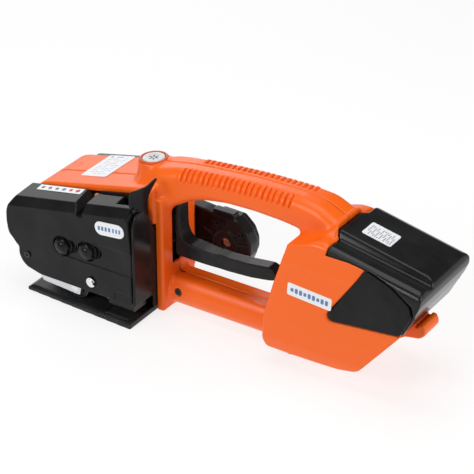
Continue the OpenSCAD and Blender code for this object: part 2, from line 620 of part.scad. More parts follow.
LOBE = [[0, -2], [2, 0.5], [74, 0.5], [79.4, -1.6], [82.4, -6], [pack_l, -12], [81, -22.5], [77.4, -14], [61, -8.4],
  [38, -6.2], [0, -5.8]];
PACK_BODY = [[35.2, 1], [35.2, -42], [32, -pack_d], [0, -pack_d], [0, 1]];
module pack_volume(inset) union() {
  intersection() {
    plate_y(-40, 40) outline(PACK_SIDE, inset);
    plate_x(-5, 100) outline(mirrored(PACK_END), inset);
    plate_x(-5, 100) outline(mirrored(PACK_BODY), inset);
  }
  if (inset == 0) intersection() {
    plate_y(-40, 40) polygon(LOBE);
    plate_x(-5, 100) polygon(mirrored(PACK_END));
  }
}
module battery_shell() color(BLACK) on_pack() difference() {
  pack_volume(0);
  pack_volume(1.4);
  block([-3, -14, -28], [3, 14, -11]);
}
module battery_cells() color([0.2, 0.45, 0.7]) on_pack()
  for (i = [0:3], k = [0, 1]) translate([11 + 2.2 * k + 18.3 * i, -31.6, -33.4 + 18.3 * k])
    rotate([-90, 0, 0]) cylinder(h = 63.2, r = cell_r);
module battery_connector() color([0.12, 0.12, 0.13]) on_pack() difference() {
  block([-8.6, -13.8, -27.8], [2.2, 13.8, -11.2]);
  for (y = [-10, 6]) block([-9, y, -24], [-1, y + 4, -15]);
}
module battery_label() color("white") on_pack() plate_z(0.05, 0.35)
  offset(r = 1.5, $fn = 24) translate([15.5, -4.5]) square([21, 14]);
// Side outline of the latch: hook at the top, thumb pad at the rear
LATCH_SIDE = [[252, 43.4], [256, 41], [260, 43.2], [271.5, 45.2], [275.6, 49], [276, 53], [274, 57], [271, 57.6],
  [269.4, 55], [267.6, 54.6], [266.9, 59], [264.8, 59.2], [263.6, 54.4], [254, 48]];
module battery_latch() color(ORANGE) difference() {
  union() {
    plate_y(-11, 11) polygon(LATCH_SIDE);
    rod_y(LATCH, -11, 11, 3.6);
  }
  rod_y(LATCH, -20, 20, 1.5 + run);
}
module latch_pin() color(STEEL) rod_y(LATCH, -15, 15, 1.5);
module latch_spring() color(STEEL) translate([LATCH[0], 11.45, LATCH[1]]) rotate([-90, 0, 0])
  tube(coil(2, 2.5, 0.6, 16), 0.3, [0, 0, 1], 6);

// ---------- labels ----------
module head_label() color("white") plate_y(cover_y - 0.35, cover_y - 0.02) translate([30, 79.6]) rotate(6)
  offset(r = 5.4, $fn = 32) square([16, 0.4], center = true);
module symbol_strip() color("white")
  translate([cover_top0[0], 0, cover_top0[1]]) rotate([0, -cover_slope, 0]) translate([7, -33.5, 0.94])
    rotate([7.2, 0, 0]) plate_z(0.42, 0.75) square([43, 7]);
module side_label() color("white") plate_y(-cradle_hw - 0.35, -cradle_hw - 0.02)
  translate([196, 70]) rotate(-4) offset(r = 1.4, $fn = 24) square([34, 7.4], center = true);

base_plate();
tension_anvil();
lower_tooth_plate();
head_frame();
cover_posts();
cutter_guide();
rear_flange();
front_cover();
cover_nuts();
cover_screw();
side_screw();
strap_guard();
rocker_arm();
wheel_bearings();
rocker_pin();
rocker_clip();
tension_wheel();
wheel_shaft();
wheel_gear();
drive_gear();
drive_gearbox();
tension_motor();
motor_shaft();
weld_gripper();
eccentric_shaft();
eccentric_bearings();
eccentric_pulley();
drive_belt();
motor_pulley();
weld_motor_stator();
weld_motor_rotor();
drive_case();
drive_case_screws();
cutter_blade();
housing_left();
housing_right();
housing_screws();
button_bezel();
push_button();
button_switch();
button_spring();
operating_lever();
lever_pin();
lever_spring();
control_panel();
control_board();
terminal_block();
battery_tray();
battery_shell();
battery_cells();
battery_connector();
battery_label();
battery_latch();
latch_pin();
latch_spring();
rear_feet();
head_label();
symbol_strip();
side_label();
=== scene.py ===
"""Battery strapping tool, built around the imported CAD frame. Lengths in the helpers are millimetres."""
import json
import math

import bmesh
import bpy
import numpy as np
import openvdb as vdb
from mathutils import Matrix, Vector


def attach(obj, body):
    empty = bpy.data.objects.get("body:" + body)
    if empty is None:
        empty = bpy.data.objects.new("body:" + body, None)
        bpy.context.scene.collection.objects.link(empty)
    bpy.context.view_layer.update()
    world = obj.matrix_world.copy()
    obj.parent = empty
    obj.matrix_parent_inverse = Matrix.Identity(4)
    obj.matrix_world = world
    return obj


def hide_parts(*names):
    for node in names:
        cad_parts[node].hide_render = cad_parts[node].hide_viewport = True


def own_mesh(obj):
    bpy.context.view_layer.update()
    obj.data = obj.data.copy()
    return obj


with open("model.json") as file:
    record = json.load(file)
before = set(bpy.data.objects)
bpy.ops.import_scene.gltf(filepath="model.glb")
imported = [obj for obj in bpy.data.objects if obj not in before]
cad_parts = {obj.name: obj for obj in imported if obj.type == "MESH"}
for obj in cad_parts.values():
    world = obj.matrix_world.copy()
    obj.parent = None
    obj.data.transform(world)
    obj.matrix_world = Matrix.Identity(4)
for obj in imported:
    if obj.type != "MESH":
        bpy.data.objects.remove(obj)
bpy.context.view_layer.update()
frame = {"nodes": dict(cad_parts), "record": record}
NODES = frame["nodes"]
MM = 0.001

# ---------- camera, light and floor ----------
scene = bpy.context.scene
cam = bpy.data.objects.new("camera", bpy.data.cameras.new("camera"))
scene.collection.objects.link(cam)
cam.data.lens = 151.9
cam.data.sensor_width = 36
cam.data.clip_start = 0.05
cam.data.clip_end = 20
cam.location = (0.8146, -1.0854, 0.8207)
aim = Vector((0.1127, -0.00465, 0.0767)) - cam.location
cam.rotation_euler = aim.to_track_quat("-Z", "Y").to_euler()
scene.camera = cam
scene.view_settings.view_transform = "Standard"
scene.view_settings.look = "None"


def area_light(name, at, to, size, watts):
    data = bpy.data.lights.new(name, "AREA")
    data.shape = "RECTANGLE"
    data.size, data.size_y = size
    data.energy = watts
    o = bpy.data.objects.new(name, data)
    o.location = at
    o.rotation_euler = (Vector(to) - Vector(at)).to_track_quat("-Z", "Y").to_euler()
    scene.collection.objects.link(o)


area_light("key", (-0.35, -1.3, 0.95), (0.1, 0, 0.05), (0.9, 0.6), 14)
area_light("fill", (1.35, -0.6, 0.6), (0.12, 0, 0.05), (0.6, 0.6), 2)
area_light("top", (0.1, 0.05, 1.25), (0.1, 0, 0.05), (1.0, 0.7), 8)
area_light("back", (-1.05, 1.1, 0.68), (0.05, 0, 0.1), (1.3, 0.9), 8)
area_light("rim", (1.5, 0.45, 0.5), (0.2, 0, 0.06), (0.35, 0.7), 9)
world = bpy.data.worlds.new("studio")
world.use_nodes = True
world.node_tree.nodes["Background"].inputs[0].default_value = (1, 1, 1, 1)
world.node_tree.nodes["Background"].inputs[1].default_value = 0.1
scene.world = world


# ---------- materials ----------
def node(tree, kind, **sockets):
    n = tree.nodes.new(kind)
    for key, value in sockets.items():
        n.inputs[key.replace("_", " ")].default_value = value
    return n


def surface(name, colour, rough=0.5, metal=0.0, grain=900.0, bump=0.12, vary=0.06, rvary=0.08,
            wear=None, wear_amount=0.5, brush=None, spec=0.5):
    """Principled surface with grain bump, cloudy colour, uneven roughness and optional worn edges."""
    m = bpy.data.materials.new(name)
    m.use_nodes = True
    t = m.node_tree
    link = t.links.new
    p = t.nodes["Principled BSDF"]
    p.inputs["Metallic"].default_value = metal
    p.inputs["Specular IOR Level"].default_value = spec
    pos = t.nodes.new("ShaderNodeTexCoord").outputs["Object"]
    cloud = node(t, "ShaderNodeTexNoise", Scale=38.0, Detail=5.0, Roughness=0.6)
    link(pos, cloud.inputs["Vector"])
    fine_in = pos
    if brush:
        stretch = t.nodes.new("ShaderNodeMapping")
        stretch.inputs["Scale"].default_value = brush
        link(pos, stretch.inputs["Vector"])
        fine_in = stretch.outputs["Vector"]
    fine = node(t, "ShaderNodeTexNoise", Scale=grain, Detail=4.0, Roughness=0.62)
    link(fine_in, fine.inputs["Vector"])
    ramp = t.nodes.new("ShaderNodeMix")
    ramp.data_type = "RGBA"
    dark = [c * (1 - vary) for c in colour]
    light = [min(1, c * (1 + vary) + 0.1 * vary) for c in colour]
    ramp.inputs[6].default_value = (*dark, 1)
    ramp.inputs[7].default_value = (*light, 1)
    link(cloud.outputs["Fac"], ramp.inputs[0])
    out = ramp.outputs[2]
    speck = t.nodes.new("ShaderNodeMix")
    speck.data_type = "RGBA"
    speck.blend_type = "OVERLAY"
    speck.inputs[0].default_value = min(1, 0.25 + vary)
    link(out, speck.inputs[6])
    grey = t.nodes.new("ShaderNodeRGBToBW")
    link(fine.outputs["Color"], grey.inputs[0])
    link(grey.outputs[0], speck.inputs[7])
    out = speck.outputs[2]
    r = node(t, "ShaderNodeMapRange", From_Min=0.3, From_Max=0.7,
             To_Min=max(0.02, rough - rvary), To_Max=rough + rvary)
    both = node(t, "ShaderNodeMath")
    both.operation = "ADD"
    half = node(t, "ShaderNodeMath")
    half.operation = "MULTIPLY"
    half.inputs[1].default_value = 0.5
    link(cloud.outputs["Fac"], both.inputs[0])
    link(fine.outputs["Fac"], both.inputs[1])
    link(both.outputs[0], half.inputs[0])
    link(half.outputs[0], r.inputs["Value"])
    if wear:
        bevel = node(t, "ShaderNodeBevel", Radius=0.0009)
        bevel.samples = 4
        geo = t.nodes.new("ShaderNodeNewGeometry")
        dot = node(t, "ShaderNodeVectorMath")
        dot.operation = "DOT_PRODUCT"
        link(bevel.outputs[0], dot.inputs[0])
        link(geo.outputs["Normal"], dot.inputs[1])
        edge = node(t, "ShaderNodeMapRange", From_Min=0.995, From_Max=0.86, To_Min=0.0, To_Max=1.0)
        link(dot.outputs["Value"], edge.inputs["Value"])
        patchy = node(t, "ShaderNodeMapRange", From_Min=0.42, From_Max=0.62, To_Min=0.15, To_Max=1.0)
        link(fine.outputs["Fac"], patchy.inputs["Value"])
        rubbed = node(t, "ShaderNodeMath")
        rubbed.operation = "MULTIPLY"
        link(edge.outputs[0], rubbed.inputs[0])
        link(patchy.outputs[0], rubbed.inputs[1])
        scaled = node(t, "ShaderNodeMath")
        scaled.operation = "MULTIPLY"
        scaled.inputs[1].default_value = wear_amount
        link(rubbed.outputs[0], scaled.inputs[0])
        worn = t.nodes.new("ShaderNodeMix")
        worn.data_type = "RGBA"
        worn.inputs[7].default_value = (*wear, 1)
        link(scaled.outputs[0], worn.inputs[0])
        link(out, worn.inputs[6])
        out = worn.outputs[2]
    link(out, p.inputs["Base Color"])
    link(r.outputs[0], p.inputs["Roughness"])
    b = node(t, "ShaderNodeBump", Strength=bump, Distance=0.0003)
    link(fine.outputs["Fac"], b.inputs["Height"])
    link(b.outputs[0], p.inputs["Normal"])
    return m


ORANGE = surface("orange_plastic", (0.90, 0.13, 0.006), 0.34, grain=2600, bump=0.08, vary=0.03, spec=0.3)
ORANGE_DARK = surface("orange_rim", (0.62, 0.08, 0.01), 0.4, grain=2600, bump=0.1, vary=0.03, spec=0.35)
GLOSS = surface("gloss_black", (0.0026, 0.0026, 0.003), 0.2, grain=1500, bump=0.03, vary=0.2, spec=0.15,
                wear=(0.05, 0.05, 0.055), wear_amount=0.4, rvary=0.05)
SATIN = surface("satin_black", (0.0024, 0.0024, 0.0028), 0.3, grain=2400, bump=0.12, vary=0.2, spec=0.12,
                wear=(0.03, 0.03, 0.033), wear_amount=0.3)
PACK = surface("pack_black", (0.0024, 0.0024, 0.0028), 0.2, grain=2400, bump=0.04, vary=0.2, spec=0.2,
               wear=(0.04, 0.04, 0.045), wear_amount=0.3, rvary=0.05)
LEVER_MAT = surface("lever_black", (0.003, 0.003, 0.0035), 0.26, grain=2600, bump=0.08, vary=0.2, spec=0.16,
                    wear=(0.04, 0.04, 0.045), wear_amount=0.4)
CAST = surface("cast_black", (0.004, 0.004, 0.0045), 0.36, metal=0.2, grain=1300, bump=0.2, vary=0.25, spec=0.15,
               wear=(0.1, 0.1, 0.105), wear_amount=0.4)
SOLE = surface("black_oxide", (0.016, 0.016, 0.018), 0.36, metal=0.5, grain=700, bump=0.08, vary=0.3, spec=0.2,
               wear=(0.12, 0.12, 0.13), wear_amount=0.5, brush=(1, 6, 1))
TOOTH = surface("hardened_tooth", (0.012, 0.012, 0.013), 0.3, metal=0.5, grain=900, bump=0.1, vary=0.3, spec=0.3,
                wear=(0.3, 0.3, 0.31), wear_amount=0.7)
STEEL = surface("ground_steel", (0.46, 0.46, 0.47), 0.3, metal=1.0, grain=500, bump=0.1, vary=0.12, brush=(1, 9, 1))
BRIGHT = surface("bright_steel", (0.78, 0.79, 0.80), 0.2, metal=1.0, grain=900, bump=0.05, vary=0.05)
ALLOY = surface("rocker_alloy", (0.66, 0.67, 0.69), 0.32, metal=1.0, grain=800, bump=0.1, vary=0.08,
                brush=(1, 7, 7))
BRONZE = surface("bronze", (0.52, 0.33, 0.12), 0.35, metal=1.0, grain=800, bump=0.1)
RUBBER = surface("rubber", (0.016, 0.016, 0.016), 0.75, grain=1800, bump=0.3, vary=0.2)
CAN = surface("plated_can", (0.30, 0.30, 0.32), 0.35, metal=1.0, grain=900, bump=0.08, vary=0.1)
COPPER = surface("windings", (0.50, 0.20, 0.06), 0.35, metal=1.0, grain=700, bump=0.4, vary=0.2, brush=(1, 1, 6))
BOARD = surface("board_green", (0.01, 0.12, 0.04), 0.3, grain=900, bump=0.1, vary=0.3)
JACKET = surface("cell_jacket", (0.02, 0.12, 0.32), 0.3, grain=900, bump=0.05, vary=0.1)
WHITE = surface("label_white", (0.80, 0.81, 0.83), 0.4, grain=1500, bump=0.03, vary=0.03)
BUTTON = surface("button_grey", (0.60, 0.62, 0.63), 0.35, grain=2200, bump=0.05, vary=0.03)
DARK = surface("dark_steel", (0.05, 0.05, 0.055), 0.35, metal=0.9, grain=900, bump=0.06, vary=0.15)
INK = surface("ink_grey", (0.10, 0.11, 0.13), 0.45, grain=1500, bump=0.02, vary=0.1)
INK_BLUE = surface("ink_blue", (0.10, 0.20, 0.42), 0.45, grain=1500, bump=0.02, vary=0.1)
INK_RED = surface("ink_red", (0.55, 0.04, 0.02), 0.45, grain=1500, bump=0.02, vary=0.1)
BY_SLOT = {
    "sole_steel": SOLE, "tool_steel": STEEL, "bright_steel": BRIGHT, "cast_black": CAST, "rocker_alloy": ALLOY,
    "bronze": BRONZE, "gloss_black": GLOSS, "satin_black": SATIN, "orange_shell": ORANGE, "motor_can": CAN,
    "windings": COPPER, "belt_rubber": RUBBER, "button_grey": BUTTON, "panel_film": WHITE, "label_white": WHITE,
    "board_green": BOARD, "cell_jacket": JACKET}
SLOT_OF = {s["node"]: s["material_slot"] for s in frame["record"]["subparts"]}


# ---------- signed distance fields ----------
class Field:
    """Grid points in millimetres from lo to hi, spaced h apart."""

    def __init__(self, lo, hi, h):
        self.h = h
        self.lo = np.array(lo, float) - 3 * h
        n = np.ceil((np.array(hi, float) - self.lo) / h).astype(int) + 4
        x, y, z = (self.lo[i] + h * np.arange(n[i]) for i in range(3))
        self.x = x.astype("f4")[:, None, None]
        self.y = y.astype("f4")[None, :, None]
        self.z = z.astype("f4")[None, None, :]
        self.shape = tuple(n)

    def turned(self, at, degrees):
        """X and Z measured in a frame at `at`, whose X axis points `degrees` below the horizon."""
        c, s = math.cos(math.radians(degrees)), math.sin(math.radians(degrees))
        dx, dz = self.x - at[0], self.z - at[1]
        return dx * c - dz * s, dx * s + dz * c


def fillet(points, r, steps=5):
    out, n = [], len(points)
    for i, p in enumerate(points):
        a, b = points[i - 1], points[(i + 1) % n]
        la, lb = math.dist(a, p), math.dist(b, p)
        c = min(r, 0.45 * la, 0.45 * lb)
        s = [p[k] + (a[k] - p[k]) * c / la for k in (0, 1)]
        e = [p[k] + (b[k] - p[k]) * c / lb for k in (0, 1)]
        for j in range(steps + 1):
            t = j / steps
            out.append(tuple((1 - t) ** 2 * s[k] + 2 * t * (1 - t) * p[k] + t * t * e[k] for k in (0, 1)))
    return out


def poly(u, v, points, r=0.0):
    """Signed distance to an outline whose corners are rounded by about r."""
    pts = fillet(points, r) if r else points
    best, inside = None, False
    for (x0, y0), (x1, y1) in zip(pts, pts[1:] + pts[:1]):
        ex, ey = x1 - x0, y1 - y0
        if ex * ex + ey * ey < 1e-12:
            continue
        t = np.clip(((u - x0) * ex + (v - y0) * ey) / (ex * ex + ey * ey), 0, 1)
        q = (u - x0 - ex * t) ** 2 + (v - y0 - ey * t) ** 2
        best = q if best is None else np.minimum(best, q)
        if y0 != y1:
            inside = inside ^ (((y0 > v) != (y1 > v)) & (u < ex * (v - y0) / ey + x0))
    return np.where(inside, -1, 1) * np.sqrt(best)


def ext(d, w, lo, hi, r=0.0):
    """Outline d drawn out from w = lo to hi, with edges rounded by r."""
    a, b = d + r, np.abs(w - (lo + hi) / 2) - (hi - lo) / 2 + r
    return np.minimum(np.maximum(a, b), 0) + np.sqrt(np.maximum(a, 0) ** 2 + np.maximum(b, 0) ** 2) - r


def smin(a, b, k):
    """Union of two fields, blended over k."""
    h = np.clip(0.5 + 0.5 * (b - a) / k, 0, 1)
    return b * (1 - h) + a * h - k * h * (1 - h)


def smax(a, b, k):
    return -smin(-a, -b, k)


def cut(a, b, k=0.6):
    """Field a with b taken out of it."""
    return smax(a, -b, k)


def box3(F, lo, hi, r=0.0):
    q = [np.abs(c - (lo[i] + hi[i]) / 2) - (hi[i] - lo[i]) / 2 + r for i, c in enumerate((F.x, F.y, F.z))]
    out = np.sqrt(sum(np.maximum(a, 0) ** 2 for a in q))
    return out + np.minimum(np.maximum(np.maximum(q[0], q[1]), q[2]), 0) - r


def rod(F, axis, at, lo, hi, r, edge=0.0):
    """Cylinder along axis 0, 1 or 2, at the two other coordinates."""
    c = [F.x, F.y, F.z]
    w = c.pop(axis)
    d = np.sqrt((c[0] - at[0]) ** 2 + (c[1] - at[1]) ** 2) - r
    return ext(d, w, lo, hi, edge)


def capsule(F, a, b, r):
    a, b = np.array(a, float), np.array(b, float)
    e = b - a
    t = np.clip(((F.x - a[0]) * e[0] + (F.y - a[1]) * e[1] + (F.z - a[2]) * e[2]) / (e @ e), 0, 1)
    return np.sqrt((F.x - a[0] - e[0] * t) ** 2 + (F.y - a[1] - e[1] * t) ** 2 + (F.z - a[2] - e[2] * t) ** 2) - r


def finish_mesh(o, body, nodes=(), smooth=True):
    scene.collection.objects.link(o)
    if smooth:
        o.data.shade_smooth()
    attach(o, body)
    if nodes:
        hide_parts(*nodes)
    return o


def solid(name, F, d, mat, body, nodes=()):
    """Mesh of the zero surface of d."""
    d = np.broadcast_to(d, F.shape)
    g = vdb.FloatGrid(3 * F.h)
    g.copyFromArray(np.ascontiguousarray(np.clip(d, -3 * F.h, 3 * F.h), dtype=np.float32))
    p, _, q = g.convertToPolygons(0.0, 0.0)
    p = (p * F.h + F.lo) * MM
    m = bpy.data.meshes.new(name)
    m.from_pydata(p.tolist(), [], q[:, ::-1].tolist())
    m.update()
    m.materials.append(mat)
    o = bpy.data.objects.new(name, m)
    print(name, len(q), "faces")
    return finish_mesh(o, body, nodes)


# ---------- shared layout ----------
PIVOT = (11, 28)
ECC = (36, 38)
WELD_MOTOR = (77, 41)
WHEEL = (-7.902, 15.25)
LEVER = (46.5, 71)
LATCH = (255, 44.6)
NUTS = [(-16, 51), (7, 53.3)]
BARREL_Z = 16.5
BUTTON_AT = (35, 0, 119)
BUTTON_TILT = 5
HANDLE_TOP = 130.6      # the ribs are cut off level here
SOLE_TOP = 4.5
WALL = 2.4
TOP_SLOPE = 13
PACK0 = (205, 117.5)
PACK_SLOPE = 12
PACK_D = 44             # depth of the battery below its top
LIP = -5.2              # edge of the housing beside the battery


def head_z(x):
    return 82 + (x + 60) * math.tan(math.radians(TOP_SLOPE))


def pack_pt(u, w):
    c, s = math.cos(math.radians(PACK_SLOPE)), math.sin(math.radians(PACK_SLOPE))
    return (PACK0[0] + u * c + w * s, PACK0[1] - u * s + w * c)


def mirror(points):
    return points + [(-a, b) for a, b in reversed(points) if a]


GRIP = [(30, 93, 112, 13), (36, 92, 113.6, 15), (47, 90, 119.6, 17.4), (57, 88, 121.8, 17.4), (65, 92, 123.4, 16.8),
        (74, 97.6, 124.8, 16.2), (88, 102.4, 126.4, 15.8), (108, 105.8, 128.2, 15.8), (132, 106.6, 129.9, 15.8),
        (155, 105.6, 130.4, 15.8), (172, 104, 130.2, 16.4), (188, 100, 128.4, 17.6), (204, 97, 120.4, 18.4)]
HEAD = [(-62.6, 20), (-63, 68), (-61.6, 75.6), (-57, 81.4), (-50, 84.3), (51, 107.6), (51, 14), (-50, 14)]
FRAME_SIDE = [(-54, 4.5), (48.5, 4.5), (48.5, 50), (36, 56), (36, 78), (-54, 62)]
CRADLE = [(154, 18), (157, 9.5), (161, 8.2), (217, 12.2), (232, 15.6), (236, 18.2), (270, 60.5), (214, 54.4),
          (211, 56), (210, 60), (240.6, 105), (210, 112), (206.6, 112.5), (205, 118), (203, 121.6), (186, 126),
          (176, 114), (175.4, 106.4), (171, 90), (165, 72), (157, 43)]
BELL = mirror([(0, 131), (11, 130), (16.4, 125), (18.4, 116), (21, 112.8), (26, 113.4), (32, 113.4), (35.4, 110.4),
               (36.2, 104), (36.2, 101), (38, 92.6), (38, 42), (36.4, 22), (33.4, 12), (27, 7.4), (0, 7.4)])
SHOULDER = [(140, -10), (140, 60), (170, 104), (176, 105.5), (192, 110), (206, 117.6), (207, 130), (290, 130),
            (290, -10)]


def blur(values, n):
    k = np.hanning(n + 2)[1:-1]
    pad = np.concatenate([np.full(n, values[0]), values, np.full(n, values[-1])])
    return np.convolve(pad, k / k.sum(), "same")[n:-n]


def grip_field(F):
    xs = F.x[:, 0, 0]
    n = int(16 / F.h) | 1
    stations = [g[0] for g in GRIP]
    lo, hi, hw = (blur(np.interp(xs, stations, [g[i] for g in GRIP]), n)[:, None, None] for i in (1, 2, 3))
    r = 9.5
    a = np.abs(F.y) - hw + r
    b = np.abs(F.z - (lo + hi) / 2) - (hi - lo) / 2 + r
    d = np.sqrt(np.maximum(a, 0) ** 2 + np.maximum(b, 0) ** 2) + np.minimum(np.maximum(a, b), 0) - r
    # finger ribs: one row each side of the seam
    pitch = 4.7
    wave = np.clip((0.36 - np.abs(((F.x - 66.4) / pitch) % 1 - 0.5)) / 0.1, 0, 1)
    high = np.clip((F.z - (hi - 9.0)) / 1.2, 0, 1)
    near, far = (np.clip((side - inset) / 0.8, 0, 1) * high
                 * np.clip((F.x - x0) / 0.5, 0, 1) * np.clip((x1 - F.x) / 0.5, 0, 1)
                 for side, inset, x0, x1 in ((-F.y, 8.2, 67, 165), (F.y, 3.6, 76.5, 175)))
    band = np.maximum(near, far)
    return np.maximum(d + 1.3 * band - 2.1 * wave * band, F.z - HANDLE_TOP), hi


def button_frame(F):
    """X and Z along and across the button's top."""
    c, s = math.cos(math.radians(BUTTON_TILT)), math.sin(math.radians(BUTTON_TILT))
    dx, dz = F.x - BUTTON_AT[0], F.z - BUTTON_AT[2]
    return dx * c + dz * s, -dx * s + dz * c


def housing_field(F):
    grip, top = grip_field(F)
    grip = smax(grip, 34 - F.x, 2)
    grip = smax(grip, F.x - 203.6, 1)
    d = ext(poly(F.x, F.z, HEAD, 4), F.y, -24, 32, 2.2)
    post = box3(F, (44, -22, 0.5), (57, 22, 98), 2.2)
    d = smin(d, post, 1.2)
    d = smin(d, grip, 7)
    bx, bz = button_frame(F)
    boss = ext(np.sqrt(bx ** 2 + F.y ** 2) - (12 + np.clip(-bz, 0, 20) * 0.16), bz, -22, -0.2, 1.6)
    d = smin(d, boss, 4.5)
    barrel = smax(np.sqrt(F.y ** 2 + (F.z - BARREL_Z) ** 2) - 15, F.z - 28.2, 1.4)
    barrel = smax(barrel, np.abs(F.x - 108) - 56, 0.5)
    d = smin(d, barrel, 3)
    rear = smax(poly(F.x, F.z, CRADLE, 2.4), poly(F.y, F.z, BELL, 2), 2.2)
    rear = smax(rear, poly(F.x, F.z, SHOULDER, 6), 1.2)
    d = smin(d, smax(rear, 150 - F.x, 1), 2.6)
    d = smin(d, smax(smin(rear, grip, 6), 168 - F.x, 3), 0.4)
    return d


def housing_cuts(F, d):
    shell = d + WALL
    u, w = F.turned(PACK0, PACK_SLOPE)
    bulk = np.maximum(np.abs(u + 2.8) - 1.8, np.abs(F.y) - 36)
    bx, bz = button_frame(F)
    column = ext(np.sqrt(bx ** 2 + F.y ** 2) - 12, bz, -24, 0)
    boss = np.minimum(rod(F, 1, LEVER, 9, 24, 5), rod(F, 1, LEVER, -24, -9, 5))
    shell = cut(shell, np.minimum(np.minimum(bulk, column), boss), 0.4)
    d = cut(d, shell, 0.4)
    d = cut(d, ext(np.sqrt(bx ** 2 + F.y ** 2) - 9.3, bz, -21.5, 30), 0.5)
    d = cut(d, ext(poly(F.x, F.z, FRAME_SIDE) - 0.3, F.y, -30, 29.3), 0.3)
    d = cut(d, rod(F, 1, ECC, 28, 33, 9), 0.3)
    d = cut(d, box3(F, (-90, -30, -10), (41, -17, 64)), 0.4)
    d = cut(d, box3(F, (40, -30, -10), (51, -17, 77)), 0.4)
    below = (F.z - head_z(F.x)) * math.cos(math.radians(TOP_SLOPE)) + 5
    d = cut(d, np.maximum(np.maximum(below, F.x - 40), np.maximum(F.y - 0.2, -F.y - 30)), 0.3)
    d = cut(d, box3(F, (40, -8.4, 38), (62, 8.4, 100), 1.2), 0.8)
    front = 4.6 * np.clip((np.abs(F.y) - 15) / 4, 0, 1)
    bay = np.maximum(np.maximum(front - 0.4 - u, np.abs(F.y) - 35.4), -PACK_D - 4.6 - w)
    lip = np.maximum(front - 0.4 - u, LIP - w)
    d = cut(d, np.minimum(bay, lip), 0.5)
    contacts = np.maximum(np.maximum(-12.5 - u, u - 1), np.maximum(np.abs(F.y) - 17, np.abs(w + 19.5) - 11.4))
    d = cut(d, contacts, 0.3)
    d = cut(d, box3(F, (246, -12.6, 36), (276, 12.6, 56), 1), 0.6)
    d = cut(d, rod(F, 1, (65, 17.5), -30, -12.9, 3.2), 0.7)
    d = cut(d, rod(F, 0, (0, BARREL_Z), 53.5, 62, 11), 0.3)
    for f in (-13, 13):
        d = cut(d, rod(F, 2, (168, f), -1, 9.7, 6.1), 0.3)
    # raised ring on the head's top
    tx, tz = F.turned((-44, head_z(-44)), -TOP_SLOPE)
    ring = np.sqrt(tx ** 2 + (F.y - 11.5) ** 2)
    d = np.minimum(d, np.maximum(np.abs(ring - 2.6) - 0.55, np.abs(tz) - 0.5))
    # shallow facet on top of the barrel
    d = cut(d, box3(F, (100, -8.6, 27.7), (140, 8.6, 30), 0.3), 0.3)
    # parting groove along the seam
    return cut(d, ext(np.abs(F.y) - 0.42, d, -0.7, 5), 0.3)


def build_housing():
    h = 0.75
    for name, lo, hi, side in (("housing_left", -39, 0, -1), ("housing_right", 0, 39, 1)):
        F = Field((-65, lo, -1), (273, hi, 133), h)
        d = housing_cuts(F, housing_field(F))
        solid(name + "_shell", F, smax(d, -side * F.y + 0.06, 0.3), ORANGE, "frame", [name])


COVER = [(-60, 112), (-62.5, 82), (-67, 74), (-69.6, 66.5), (-70, 58), (-69, 50), (-67.8, 46.4), (-65, 43.7),
         (-61, 39.2), (-59, 37.6), (-59, 31), (-56.4, 25.4), (-52, 21.6), (-39, 18.3), (48, 18.3), (48, 67),
         (46.4, 89), (46.4, 112)]
COVER_TOP = (-59.5, 78.5)
COVER_SLOPE = 10.9


def cover_volume(F):
    side = poly(F.x, F.z, COVER, 2.2)
    u, w = F.turned(COVER_TOP, -COVER_SLOPE)
    edge = poly(F.y, w, [(-60, -150), (-52, -150), (-52, -5.2), (-44.4, -0.1), (-20, 3), (-20, -150)], 0.8)
    d = smax(side, edge, 0.7)
    return smax(d, np.abs(F.y + 38.3) - 13.7, 0.8), d, u, w


